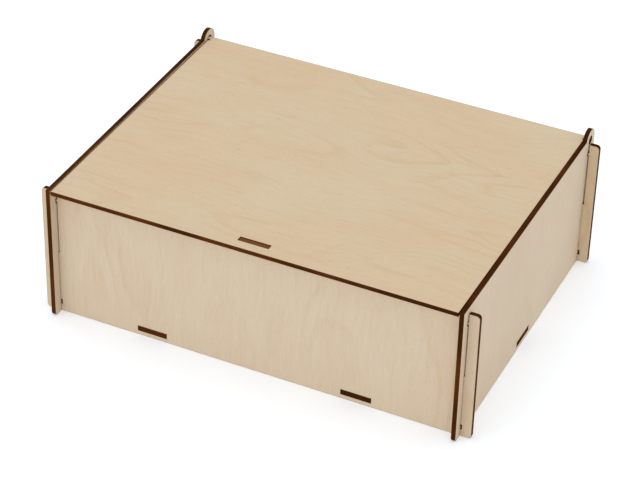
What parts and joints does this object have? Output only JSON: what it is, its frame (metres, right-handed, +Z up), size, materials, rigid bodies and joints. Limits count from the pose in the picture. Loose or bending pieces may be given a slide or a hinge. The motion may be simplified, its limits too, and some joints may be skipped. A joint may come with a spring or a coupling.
{
  "type": "hinged-lid plywood box",
  "caption": "Flat-cut plywood box with slotted, crossing corners, a tabbed floor and a lid that swings up on flat tabs held in the rounded ears of its sides.",
  "frame": {"origin": "on the surface the box stands on, under the middle of the box", "axes": "+X along the length, to the right as seen from the front; +Y from the front panel to the rear panel; +Z up"},
  "size_m": [0.3, 0.225, 0.1034],
  "materials": {
    "plywood": "bare sanded birch plywood with scorched, dark brown cut edges"
  },
  "bodies": {
    "case": {"front_panel": "plywood", "rear_panel": "plywood", "left_side_panel": "plywood", "right_side_panel": "plywood", "bottom_panel": "plywood"},
    "lid": {"lid": "plywood"}
  },
  "joints": [
    {"name": "lid_hinge", "type": "hinge", "parent": "case", "child": "lid", "pos_m": [0, 0.1045, 0.0954], "axis": [-1, 0, 0], "range_deg": [0, 205]}
  ]
}
